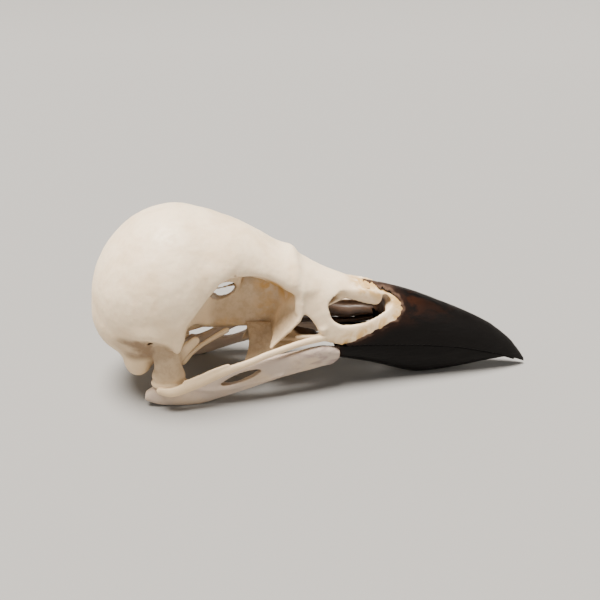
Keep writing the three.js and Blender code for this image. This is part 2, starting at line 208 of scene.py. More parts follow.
def smooth_value(table):
    """Smooth value along x through a few (x, value) pairs."""
    last = len(table) - 1

    def value(x):
        if x <= table[0][0]:
            return table[0][1]
        if x >= table[last][0]:
            return table[last][1]
        i = next(k for k in range(last) if x < table[k + 1][0])
        (x0, v0), (x1, v1) = table[i], table[i + 1]
        before, after = table[max(0, i - 1)], table[min(last, i + 2)]
        start = (v1 - before[1]) / (x1 - before[0])
        end = (after[1] - v0) / (after[0] - x0)
        span = x1 - x0
        t = (x - x0) / span
        bend = t * t * (3 - 2 * t)
        rise = span * (t * (1 - t) * (1 - t) * start - t * t * (1 - t) * end)
        return v0 * (1 - bend) + v1 * bend + rise

    return value


def smooth_path(points):
    """Smooth point at a share from 0 to 1 of a path through points of any number of parts."""
    last = len(points) - 1
    parts = range(len(points[0]))
    tracks = [smooth_value([(i / last, point[k]) for i, point in enumerate(points)]) for k in parts]
    return lambda share: [track(share) for track in tracks]


def signed_power(value, power):
    """The power of a value, with the value's sign."""
    return math.copysign(abs(value) ** power, value)


def eased(value, low, high):
    """0 below low, 1 above high, smooth between."""
    t = min(1.0, max(0.0, (value - low) / (high - low)))
    return t * t * (3 - 2 * t)


def spaced(low, high, count):
    """Even steps from low to high."""
    return [low + (high - low) * i / (count - 1) for i in range(count)]


def ball(centre, radii, fullness=2.0, pitch=0.0, around=64, rings=40):
    """An ellipsoid. A fullness over 2 makes it boxier; pitch turns it about Y, nose down."""
    bm = bmesh.new()
    bmesh.ops.create_uvsphere(bm, u_segments=around, v_segments=rings, radius=1.0)
    for v in bm.verts:
        size = sum(abs(part) ** fullness for part in v.co) ** (-1 / fullness)
        v.co = v.co * size
    bmesh.ops.scale(bm, verts=bm.verts, vec=radii)
    bmesh.ops.rotate(bm, verts=bm.verts, cent=(0, 0, 0), matrix=Matrix.Rotation(pitch, 3, "Y"))
    bmesh.ops.translate(bm, verts=bm.verts, vec=centre)
    return bm


def tube(rings, sides, put):
    """A closed tube. put(share, turn) gives the point at that share of its length and turn round it."""
    bm = bmesh.new()
    bmesh.ops.create_grid(bm, x_segments=sides, y_segments=rings - 1, size=1.0)
    for v in bm.verts:
        v.co = put((v.co.y + 1) / 2, (v.co.x + 1) * math.pi)
    bmesh.ops.remove_doubles(bm, verts=bm.verts, dist=1e-4)
    bmesh.ops.holes_fill(bm, edges=[e for e in bm.edges if e.is_boundary], sides=0)
    bmesh.ops.recalc_face_normals(bm, faces=bm.faces)
    return bm


def loft(stations, sides, section):
    """A tube along x. section(x, turn) gives y and z."""

    def put(share, turn):
        x = stations[round(share * (len(stations) - 1))]
        return Vector((x, *section(x, turn)))

    return tube(len(stations), sides, put)


def rod(points, sides=16, steps=40, upright=False):
    """A round rod through points of x, y, z, half width and half height, with rounded ends."""
    path = smooth_path([(p[0], p[1], p[2], p[3], p[4] if len(p) > 4 else p[3]) for p in points])
    up = Vector((1, 0, 0)) if upright else Vector((0, 0, 1))
    length = sum((Vector(b[:3]) - Vector(a[:3])).length for a, b in zip(points, points[1:]))

    def put(share, turn):
        x, y, z, wide, high = path(share)
        ahead = Vector(path(min(1, share + 0.01))[:3]) - Vector(path(max(0, share - 0.01))[:3])
        across = ahead.cross(up).normalized()
        over = across.cross(ahead).normalized()
        end = min(1.0, min(share, 1 - share) * length / max(wide, high) + 0.05)
        cap = math.sqrt(1 - (1 - end) ** 2)
        sideways = across * (wide * cap * math.cos(turn))
        upwards = over * (high * cap * math.sin(turn))
        return Vector((x, y, z)) + sideways + upwards

    return tube(steps + 1, sides, put)


def sheet(surface, thick, columns=24, rows=24):
    """A thin curved plate. surface(u, v) gives its middle at u and v from 0 to 1."""
    bm = bmesh.new()
    bmesh.ops.create_grid(bm, x_segments=columns, y_segments=rows, size=1.0)
    for v in bm.verts:
        v.co = surface((v.co.x + 1) / 2, (v.co.y + 1) / 2)
    bm.normal_update()
    for v in bm.verts:
        v.co += v.normal * (thick / 2)
    bmesh.ops.solidify(bm, geom=bm.faces[:], thickness=thick)
    bmesh.ops.recalc_face_normals(bm, faces=bm.faces)
    return bm


def prism(outline, low, high):
    """A prism of an outline of x and z corners, from low to high across the skull."""
    bm = bmesh.new()
    face = bm.faces.new([bm.verts.new((x, low, z)) for x, z in outline])
    made = bmesh.ops.extrude_face_region(bm, geom=[face])["geom"]
    far_corners = [part for part in made if isinstance(part, bmesh.types.BMVert)]
    bmesh.ops.translate(bm, verts=far_corners, vec=(0, high - low, 0))
    bmesh.ops.holes_fill(bm, edges=[e for e in bm.edges if e.is_boundary], sides=0)
    bmesh.ops.triangulate(bm, faces=bm.faces)
    bmesh.ops.recalc_face_normals(bm, faces=bm.faces)
    return bm


def closed_outline(corners):
    """Points of a smooth closed curve through the corners."""
    path = smooth_path([*corners[-2:], *corners, *corners[:2]])
    total = len(corners) + 3
    steps = len(corners) * STEPS_PER_CORNER
    return [path((2 + len(corners) * i / steps) / total) for i in range(steps)]


def mirrored(bm):
    """A copy of a form on the other side of the skull."""
    other = bm.copy()
    bmesh.ops.scale(other, verts=other.verts, vec=(1, -1, 1))
    bmesh.ops.reverse_faces(other, faces=other.faces)
    return other


def both_sides(bm):
    return [bm, mirrored(bm)]


# Making and finishing pieces


def gathered(forms):
    """One mesh that holds all the forms."""
    whole = bmesh.new()
    for form in forms:
        mesh = bpy.data.meshes.new("form")
        form.to_mesh(mesh)
        form.free()
        whole.from_mesh(mesh)
        bpy.data.meshes.remove(mesh)
    return whole


def raw_object(name, forms):
    bm = gathered(forms)
    mesh = bpy.data.meshes.new(name)
    bm.to_mesh(mesh)
    bm.free()
    piece = bpy.data.objects.new(name, mesh)
    bpy.context.scene.collection.objects.link(piece)
    return piece


def apply_modifiers(piece):
    graph = bpy.context.evaluated_depsgraph_get()
    finished = bpy.data.meshes.new_from_object(piece.evaluated_get(graph))
    old = piece.data
    piece.modifiers.clear()
    piece.data = finished
    bpy.data.meshes.remove(old)
    finished.name = piece.name


def remesh(piece, grid):
    """Joins overlapping closed forms into one skin on an even grid."""
    modifier = piece.modifiers.new("skin", "REMESH")
    modifier.mode = "VOXEL"
    modifier.voxel_size = grid
    modifier.adaptivity = 0
    apply_modifiers(piece)


def soften(piece, rounds):
    """Evens out the surface, more with each round."""
    modifier = piece.modifiers.new("soften", "SMOOTH")
    modifier.factor = 0.5
    modifier.iterations = rounds
    apply_modifiers(piece)


def combine(piece, form, operation="DIFFERENCE"):
    """Cuts a form out of the piece, or keeps only what lies inside it."""
    other = raw_object("cutter", [form])
    modifier = piece.modifiers.new("combine", "BOOLEAN")
    modifier.operation = operation
    modifier.solver = "EXACT"
    modifier.object = other
    apply_modifiers(piece)
    mesh = other.data
    bpy.data.objects.remove(other)
    bpy.data.meshes.remove(mesh)


def keep_largest(piece):
    """Drops loose crumbs that a cut or the grid has left."""
    bm = bmesh.new()
    bm.from_mesh(piece.data)
    left = set(bm.verts)
    groups = []
    while left:
        stack = [left.pop()]
        group = set(stack)
        while stack:
            for edge in stack.pop().link_edges:
                for v in edge.verts:
                    if v in left:
                        left.discard(v)
                        group.add(v)
                        stack.append(v)
        groups.append(group)
    largest = max(groups, key=len)
    crumbs = [v for group in groups if group is not largest for v in group]
    bmesh.ops.delete(bm, geom=crumbs, context="VERTS")
    bm.to_mesh(piece.data)
    bm.free()


def roughen(piece, height, size, seed=0.0):
    """Moves the surface in and out by soft noise."""
    bm = bmesh.new()
    bm.from_mesh(piece.data)
    bm.normal_update()
    shift = Vector((seed, seed * 2.3, seed * 0.7))
    for v in bm.verts:
        v.co += v.normal * (height * noise.fractal(v.co / size + shift, 1.0, 2.0, 3))
    bm.to_mesh(piece.data)
    bm.free()


def note_recess_shade(piece, reach=5.0):
    """Stores how shut in each point of the surface is, from 0 in the open to 1 deep in a hollow. The
    materials paint shade into the bone by it.
    """
    bm = bmesh.new()
    bm.from_mesh(piece.data)
    bm.normal_update()
    tree = BVHTree.FromBMesh(bm)
    chance = random.Random(7)
    ways = []
    while len(ways) < SHADE_MASK_RAYS:
        way = Vector((chance.uniform(-1, 1), chance.uniform(-1, 1), chance.uniform(-1, 1)))
        if 0.1 < way.length < 1:
            ways.append(way.normalized())
    shut = []
    for v in bm.verts:
        total = 0.0
        for way in ways:
            aim = way if way.dot(v.normal) > 0 else -way
            aim = (aim + v.normal * 0.15).normalized()
            hit = tree.ray_cast(v.co + v.normal * 0.05, aim, reach)
            if hit[0] is not None:
                total += 1 - hit[3] / reach
        shut.append(total / SHADE_MASK_RAYS)
    even = []
    for v in bm.verts:
        near = [shut[edge.other_vert(v).index] for edge in v.link_edges]
        even.append(0.5 * shut[v.index] + 0.5 * sum(near) / max(1, len(near)))
    bm.free()
    # The hollow attribute is the mask for the painted shade in recesses
    layer = piece.data.attributes.new("hollow", "FLOAT", "POINT")
    layer.data.foreach_set("value", even)


def note_edge(piece, outline, reach):
    """Stores how near each point is to the ragged edge of the horn, seen from the side: 1 at the edge."""
    layer = piece.data.attributes.new("edge", "FLOAT", "POINT")
    values = []
    for v in piece.data.vertices:
        gap = min((v.co.x - x) ** 2 + (v.co.z - z) ** 2 for x, z in outline)
        values.append(max(0.0, 1 - math.sqrt(gap) / reach))
    layer.data.foreach_set("value", values)


def finish_piece(piece, material, slot, *nodes):
    """Moves a finished piece from skull millimetres to the frame, gives it its material, hangs it on the root
    body and hides the solids it stands for.
    """
    to_metres = Matrix.Scale(1 / MM_PER_METRE, 4)
    place = to_metres @ Matrix.Translation((-BACK_TO_MIDDLE, 0, -FLOOR_HEIGHT))
    piece.data.transform(place)
    for polygon in piece.data.polygons:
        polygon.use_smooth = True
    piece.data.materials.clear()
    piece.data.materials.append(material)
    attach(piece, "root")
    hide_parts(*nodes)


def taken(piece):
    """The mesh of a piece, taken out of the scene."""
    bm = bmesh.new()
    bm.from_mesh(piece.data)
    bpy.data.objects.remove(piece)
    return bm


def add_forms(piece, forms):
    """Puts more closed forms into the mesh of a piece."""
    own = bmesh.new()
    own.from_mesh(piece.data)
    whole = gathered([own, *forms])
    whole.to_mesh(piece.data)
    whole.free()


def front_part(piece, name):
    """Parts a piece at the hinge and returns what lies in front of it as a piece of its own."""
    front = bpy.data.objects.new(name, piece.data.copy())
    front.data.name = name
    bpy.context.scene.collection.objects.link(front)
    for part, forward in ((piece, False), (front, True)):
        bm = bmesh.new()
        bm.from_mesh(part.data)
        geometry = [*bm.verts, *bm.edges, *bm.faces]
        bmesh.ops.bisect_plane(
            bm, geom=geometry, plane_co=(HINGE_X, 0, 0), plane_no=(1, 0, 0),
            clear_inner=forward, clear_outer=not forward,
        )
        bm.to_mesh(part.data)
        bm.free()
    return front


def mirror_object(piece, name):
    mesh = piece.data.copy()
    mesh.name = name
    bm = bmesh.new()
    bm.from_mesh(mesh)
    bmesh.ops.scale(bm, verts=bm.verts, vec=(1, -1, 1))
    bmesh.ops.reverse_faces(bm, faces=bm.faces)
    bm.to_mesh(mesh)
    bm.free()
    other = bpy.data.objects.new(name, mesh)
    bpy.context.scene.collection.objects.link(other)
    return other


# Outlines of the head and beak along x, as in the solids

forehead_top = smooth_value([(14, 36.6), (21.6, 36.6), (25.3, 35.3), (29.1, 33.9), (33, 32), (36.9, 29.6),
                             (38.7, 29.1), (39.9, 28.5), (40.7, 27.3), (HINGE_X, 26.4), (43.5, 24.8),
                             (46, 23.2)])
socket_rim_z = smooth_value([(14, 17), (20.5, 21.2), (23.4, 24.1), (26.2, 26.2), (28.5, 26.4), (31.3, 25.5),
                             (34.2, 24.4), (37, 23.2), (HINGE_X, 21.4), (46, 20)])
forehead_half = smooth_value([(14, 13), (20.5, 13.6), (23.4, 12.9), (26.2, 11.6), (28.5, 10.2), (31.3, 8.7),
                              (34.2, 8), (37, 8.1), (39.4, 8.2), (HINGE_X, 7.9), (43.5, 7.2), (46, 6.2)])
culmen_z = smooth_value([(HINGE_X, 26.5), (45, 24.5), (49.1, 22.9), (53.2, 21.6), (57.6, 20.6), (62.3, 19.4),
                         (66.2, 18.1), (71.1, 16.1), (76.9, 13.6), (82.2, 10.8), (87, 7.2), (89.4, 4.6),
                         (BEAK_TIP_X, 1.9)])
tomium_z = smooth_value([(HINGE_X, 11.8), (47, 10.6), (55, 9.8), (67.3, 8.3), (74, 7.2), (79, 5.9), (85, 4),
                         (89.4, 2.2), (BEAK_TIP_X, 1.3)])
beak_half = smooth_value([(HINGE_X, 8.1), (47, 8.2), (52, 7.5), (58, 6.4), (64, 5.5), (70, 4.7), (76, 3.8),
                          (82, 2.8), (87, 1.7), (90, 0.8), (BEAK_TIP_X, 0.25)])
beak_fullness = smooth_value([(HINGE_X, 3.2), (47, 2.5), (56, 2), (BEAK_TIP_X, 1.8)])
gonys_z = smooth_value([(JAW_END_X, 6.3), (55, 4), (62, 1.6), (66, 0.45), (70, 0.45), (76, 1.1), (82, 2.1),
                        (88.8, 3.1)])

# The left eye socket
SOCKET = {"centre": (29.5, 11.7, 15.6), "fullness": 2.15, "around": 72, "rings": 48}
SOCKET_RADII = Vector((11.2, 11.6, 10.7))

# The hole through the wall between the sockets, with a strand of bone left across it
SEPTUM_HOLE = {"centre": (25.4, 0, 20.8), "radii": (2.9, 6.4, 2.2), "pitch": -0.4}
TEAR_DETAIL = 0.12

# Side outlines that the photograph shows, in x and z
NOSTRIL = [(45.9, 18.4), (46.2, 19.6), (47.9, 20.7), (50.6, 20.9), (53.8, 20.4), (56.9, 19.6), (59.1, 18.4),
           (59.1, 17.2), (57.2, 16.1), (54, 14.9), (50.6, 14.5), (48.2, 14.9), (46.6, 16.2)]
CHEEK_WINDOW = [(37, 13.1), (44.5, 13), (43.4, 14.9), (42, 16.9), (41, 17.5), (37, 17.5)]
HORN_EDGE = [(52.6, 24.5), (53.3, 21.75), (55.5, 20.9), (58.3, 19.9), (60.4, 18.6), (61.5, 16.7), (60.5, 15),
             (58.5, 14.1), (55.6, 13), (52, 11.7), (49.4, 10.7), (47.6, 10), (46.2, 8)]
JAW_WINDOW = [(24.5, 4.6), (26.2, 6.0), (28.8, 7.25), (31.4, 7.7), (32.5, 7.3), (30.6, 5.9), (27.4, 4.7)]


def upper_beak(shrink):
    """The upper beak from the hinge to the tip, bone and horn together."""
    palate_arch = 1.2

    def section(x, turn):
        power = 2 / beak_fullness(x)
        half = max(0.1, beak_half(x) - shrink)
        top = culmen_z(x) - shrink - tomium_z(x)
        rise = top if math.sin(turn) > 0 else -palate_arch * half / 8 - shrink
        z = tomium_z(x) + rise * signed_power(math.sin(turn), power)
        return half * signed_power(math.cos(turn), power), z

    return loft([*spaced(HINGE_X - 2.2, 88, 96), *spaced(88.3, BEAK_TIP_X, 14)], 88, section)


def nose_hollow():
    """The room inside the upper beak, behind the nostrils."""

    def section(x, turn):
        half = beak_half(x) - 1.15
        rise = culmen_z(x) - tomium_z(x) - 1.5 if math.sin(turn) > 0 else 3.0
        power = 0.8 if math.sin(turn) > 0 else 1.0
        z = tomium_z(x) + rise * signed_power(math.sin(turn), power)
        return half * signed_power(math.cos(turn), 0.7), z

    return loft(spaced(39, 58.2, 30), 48, section)


def ragged_edge(ragged, seed=3.0):
    """The horn's edge, with small lobes and splits."""
    path = smooth_path(HORN_EDGE)
    points = []
    for i in range(181):
        share = i / 180
        x, z = path(share)
        ahead, behind = path(min(1, share + 0.01)), path(max(0, share - 0.01))
        along_edge = Vector((ahead[0] - behind[0], ahead[1] - behind[1])).normalized()
        wander = noise.fractal(Vector((share * 26, seed, 0)), 0.7, 2.1, 4) * ragged * 1.7
        points.append((x - along_edge.y * wander, z + along_edge.x * wander))
    return points


# Materials


def new_material(name):
    material = bpy.data.materials.new(name)
    material.use_nodes = True
    nodes = material.node_tree.nodes
    nodes.clear()
    output = nodes.new("ShaderNodeOutputMaterial")
    shader = nodes.new("ShaderNodeBsdfPrincipled")
    material.node_tree.links.new(shader.outputs[0], output.inputs[0])
    return material, shader


class Pattern:
    """Short names for the nodes of one material."""

    def __init__(self, material):
        self.tree = material.node_tree
        self.place = self.tree.nodes.new("ShaderNodeTexCoord").outputs["Object"]

    def link(self, source, socket):
        self.tree.links.new(source, socket)

    def scaled(self, size=(1, 1, 1)):
        """Object coordinates in skull millimetres, scaled by size."""
        node = self.tree.nodes.new("ShaderNodeMapping")
        node.vector_type = "POINT"
        start = (BACK_TO_MIDDLE, 0, FLOOR_HEIGHT)
        node.inputs["Location"].default_value = [part * scale for part, scale in zip(start, size)]
        node.inputs["Scale"].default_value = [MM_PER_METRE * scale for scale in size]
        self.link(self.place, node.inputs["Vector"])
        return node.outputs[0]

    def noise(self, scale, detail=3.0, size=(1, 1, 1), roughness=0.55, distortion=0.0):
        node = self.tree.nodes.new("ShaderNodeTexNoise")
        node.inputs["Scale"].default_value = scale
        node.inputs["Detail"].default_value = detail
        node.inputs["Roughness"].default_value = roughness
        node.inputs["Distortion"].default_value = distortion
        self.link(self.scaled(size), node.inputs["Vector"])
        return node.outputs[0]

    def pores(self, scale):
        node = self.tree.nodes.new("ShaderNodeTexVoronoi")
        node.inputs["Scale"].default_value = scale
        self.link(self.scaled(), node.inputs["Vector"])
        return node.outputs["Distance"]

    def spot(self, centre, radii):
        """1 at a place on the skull, falling to 0 at the radii, on both sides."""
        split = self.tree.nodes.new("ShaderNodeSeparateXYZ")
        self.link(self.place, split.inputs[0])
        joined = self.tree.nodes.new("ShaderNodeCombineXYZ")
        self.link(split.outputs[0], joined.inputs[0])
        self.link(self.maths("ABSOLUTE", split.outputs[1]), joined.inputs[1])
        self.link(split.outputs[2], joined.inputs[2])
        node = self.tree.nodes.new("ShaderNodeMapping")
        middle = (centre[0] - BACK_TO_MIDDLE, centre[1], centre[2] - FLOOR_HEIGHT)
        node.inputs["Location"].default_value = [-part / radius for part, radius in zip(middle, radii)]
        node.inputs["Scale"].default_value = [MM_PER_METRE / radius for radius in radii]
        self.link(joined.outputs[0], node.inputs["Vector"])
        glow = self.tree.nodes.new("ShaderNodeTexGradient")
        glow.gradient_type = "SPHERICAL"
        self.link(node.outputs[0], glow.inputs[0])
        return glow.outputs["Fac"]

    def attribute(self, name):
        node = self.tree.nodes.new("ShaderNodeAttribute")
        node.attribute_name = name
        return node.outputs["Fac"]

    def maths(self, operation, first, second=None):
        node = self.tree.nodes.new("ShaderNodeMath")
        node.operation = operation
        for i, value in enumerate((first, second)):
            if value is None:
                continue
            if isinstance(value, (int, float)):
                node.inputs[i].default_value = value
            else:
                self.link(value, node.inputs[i])
        return node.outputs[0]

    def times(self, first, second):
        return self.maths("MULTIPLY", first, second)

    def largest(self, first, *others):
        for other in others:
            first = self.maths("MAXIMUM", first, other)
        return first

    def ramp(self, value, low, high, start=0.0, end=1.0):
        """Goes smoothly from start to end while the value goes from low to high."""
        node = self.tree.nodes.new("ShaderNodeMapRange")
        node.interpolation_type = "SMOOTHSTEP"
        for name, number in (("From Min", low), ("From Max", high), ("To Min", start), ("To Max", end)):
            node.inputs[name].default_value = number
        self.link(value, node.inputs["Value"])
        return node.outputs[0]

    def mix(self, share, first, second):
        node = self.tree.nodes.new("ShaderNodeMix")
        node.data_type = "RGBA"
        for socket, value in ((node.inputs[0], share), (node.inputs[6], first), (node.inputs[7], second)):
            if isinstance(value, (int, float)):
                socket.default_value = value
            elif isinstance(value, bpy.types.NodeSocket):
                self.link(value, socket)
            else:
                socket.default_value = (*value, 1.0)
        return node.outputs[2]

    def bump(self, shader, height, strength, distance):
        node = self.tree.nodes.new("ShaderNodeBump")
        node.inputs["Strength"].default_value = strength
        node.inputs["Distance"].default_value = distance
        self.link(height, node.inputs["Height"])
        self.link(node.outputs[0], shader.inputs["Normal"])


def bone_material(name, base, finish, smeared=False):
    """Bone with warm patches, old stains, grey smears where asked, and painted shade: brown in its hollows
    and on parts in shadow, near-black inside the nose, darker and warmer towards the bottom and beside the
    forehead's crease.
    """
    material, shader = new_material(name)
    pattern = Pattern(material)
    broad = pattern.ramp(pattern.noise(0.16, 4, distortion=0.4), 0.42, 0.72)
    fine = pattern.ramp(pattern.noise(0.9, 5, roughness=0.65), 0.38, 0.75)
    colour = pattern.mix(pattern.times(broad, 0.5), base, finish.warm_tone_and_shade)
    colour = pattern.mix(pattern.times(fine, 0.11), colour, finish.hollow)
    # Painted shade: recesses turn dark brown the more shut in they are
    recess_shade = pattern.attribute("hollow")
    colour = pattern.mix(pattern.ramp(recess_shade, 0.1, 0.5, 0.0, 0.88), colour, finish.hollow)
    stains = pattern.ramp(pattern.noise(0.45, 4, distortion=0.8), 0.3, 0.6)
    corner = pattern.ramp(pattern.spot((35.2, 3.6, 21.4), (6, 6.5, 4.6)), 0.05, 0.6)
    septum = pattern.ramp(pattern.spot((34.5, 0.6, 16.5), (4.5, 2, 5)), 0.05, 0.9, 0.0, 0.4)
    keel = pattern.ramp(pattern.spot((26, 0.6, 13), (5, 2, 1.8)), 0.05, 0.9, 0.0, 0.5)
    # Painted shade with staining: a dark brown, mottled patch in the hollow of the temple
    temple_shade_and_stain = pattern.ramp(pattern.spot((9.8, 12.6, 13.2), (9, 5.5, 3.8)), 0.05, 0.5, 0.0, 1.0)
    # Painted shade: a soft warm band behind the crease of the forehead
    brow_shade = pattern.ramp(pattern.spot((38.6, 6.2, 25.2), (1.6, 7, 5)), 0.1, 0.7, 0.0, 0.35)
    # Painted shade with some staining: the bone darker and warmer towards the bottom, where less light falls;
    # only a little on the jaw
    low = pattern.ramp(pattern.spot((14, 0, 2), (90, 70, 28)), 0.08, 0.8, 0.0, 0.15 if smeared else 0.8)
    colour = pattern.mix(low, colour, finish.warm_tone_and_shade)
    # Painted shade on parts that lie in shadow: the quadrate, the palate, the plate in front of the socket
    # and the wall between the sockets
    carrier = pattern.ramp(pattern.spot((14.6, 11.5, 10.5), (5, 4.5, 6.5)), 0.05, 0.5, 0.0, 0.6)
    palate = pattern.ramp(pattern.spot((33, 2, 10.6), (8, 6.5, 6)), 0.05, 0.5, 0.0, 0.75)
    plate = pattern.ramp(pattern.spot((37.6, 6.4, 14), (4, 5, 6.5)), 0.05, 0.6, 0.0, 0.5)
    wall = pattern.ramp(pattern.spot((29, 0, 16.5), (13, 3.5, 9.5)), 0.02, 0.5, 0.0, 0.55)
    shade = pattern.largest(carrier, wall, plate, palate)
    colour = pattern.mix(pattern.times(shade, pattern.ramp(fine, -2.0, 0.9)), colour, finish.hollow)
    stained = pattern.largest(corner, septum, keel)
    colour = pattern.mix(pattern.times(stained, stains), colour, finish.stain)
    colour = pattern.mix(pattern.times(temple_shade_and_stain, pattern.ramp(broad, -0.6, 0.8)), colour, finish.hollow)
    colour = pattern.mix(brow_shade, colour, finish.warm_tone_and_shade)
    rim = pattern.times(pattern.ramp(pattern.attribute("edge"), 0.05, 0.9, 0.0, 0.8), stains)
    colour = pattern.mix(rim, colour, finish.stain)
    # Painted shade: the inside of the nose near-black
    inside = pattern.ramp(pattern.spot((50.4, 0, 12), (13, 7.3, 7.2)), 0.0, 0.09)
    colour = pattern.mix(inside, colour, finish.nose)
    if smeared:
        smears = pattern.ramp(pattern.noise(0.42, 4, size=(0.6, 1, 1.4), distortion=0.6), 0.45, 0.7)
        near_horn = pattern.ramp(pattern.spot((47, 8, 8), (15, 5, 7)), 0.0, 0.55)
        colour = pattern.mix(pattern.times(smears, near_horn), colour, finish.smear)
    pattern.link(colour, shader.inputs["Base Color"])
    rough = pattern.ramp(fine, 0, 1, finish.roughness - 0.06, finish.roughness + 0.14)
    pattern.link(rough, shader.inputs["Roughness"])
    shader.inputs["Specular IOR Level"].default_value = 0.42
    shader.inputs["Subsurface Weight"].default_value = 0.06
    shader.inputs["Subsurface Radius"].default_value = (1.0, 0.6, 0.35)
    shader.inputs["Subsurface Scale"].default_value = 0.0008
    pits = pattern.ramp(pattern.pores(3.1), 0.02, 0.16)
    grain = pattern.maths("ADD", pattern.times(pits, 0.35), pattern.noise(2.6, 4))
    pattern.bump(shader, grain, 0.16, 0.00012)
    return material


def horn_material(finish):
    """Black horn with growth lines, brown mottling with painted sheen on the top of the upper beak, brown at
    its thin edge, and a dry, flaking edge, with a painted highlight on the ridge of the upper beak.
    """
    material, shader = new_material("beak horn")
    pattern = Pattern(material)
    streaks = pattern.ramp(pattern.noise(0.7, 5, size=(0.16, 1, 1), roughness=0.6), 0.35, 0.7)
    clouds = pattern.ramp(pattern.noise(0.34, 4, size=(0.6, 1, 1), distortion=0.9), 0.42, 0.66)
    # Brown on the top and flank of the upper beak: real mottling, and painted sheen where the light falls
    lit = pattern.ramp(pattern.spot((60.5, 3.5, 17.3), (11.5, 6, 6.2)), 0.08, 0.75)
    flank = pattern.ramp(pattern.spot((66, 4, 16), (17, 7, 4.5)), 0.05, 0.9, 0.0, 0.45)
    brown = pattern.times(pattern.largest(lit, flank), clouds)
    edge = pattern.ramp(pattern.attribute("edge"), 0.1, 0.95)
    # Painted highlight: pale streaks on the ridge of the upper beak, joined with the real flaking edge
    ridge = pattern.ramp(pattern.spot((56.5, 0.6, 21.2), (6.5, 3.2, 2.6)), 0.05, 0.6)
    colour = pattern.mix(brown, finish.dark, finish.brown)
    colour = pattern.mix(pattern.times(edge, 0.5), colour, finish.brown)
    flakes_and_highlight = pattern.largest(pattern.ramp(edge, 0.8, 1), pattern.times(ridge, 0.6))
    colour = pattern.mix(pattern.times(pattern.times(flakes_and_highlight, streaks), 0.6), colour, finish.pale)
    pattern.link(colour, shader.inputs["Base Color"])
    uneven = pattern.ramp(streaks, 0, 1, finish.roughness, finish.roughness + 0.14)
    rough = pattern.maths("ADD", uneven, pattern.times(edge, 0.2))
    pattern.link(rough, shader.inputs["Roughness"])
    shader.inputs["Specular IOR Level"].default_value = 0.09
    lines = pattern.noise(2.4, 4, size=(0.12, 1, 1))
    pattern.bump(shader, lines, 0.35, 0.00012)
    return material


def materials():
    """The finishes, made once and shared by the pieces."""
    scene = bpy.context.scene
    made = bpy.data.materials
    if "skull bone" not in made:
        bone_material("skull bone", scene.bone_finish.bare, scene.bone_finish)
        # The jaw's base colour is partly painted shade
        bone_material("jaw bone", scene.bone_finish.jaw, scene.bone_finish, smeared=True)
        horn_material(scene.horn_finish)
    return made["skull bone"], made["jaw bone"], made["beak horn"]


# Pieces


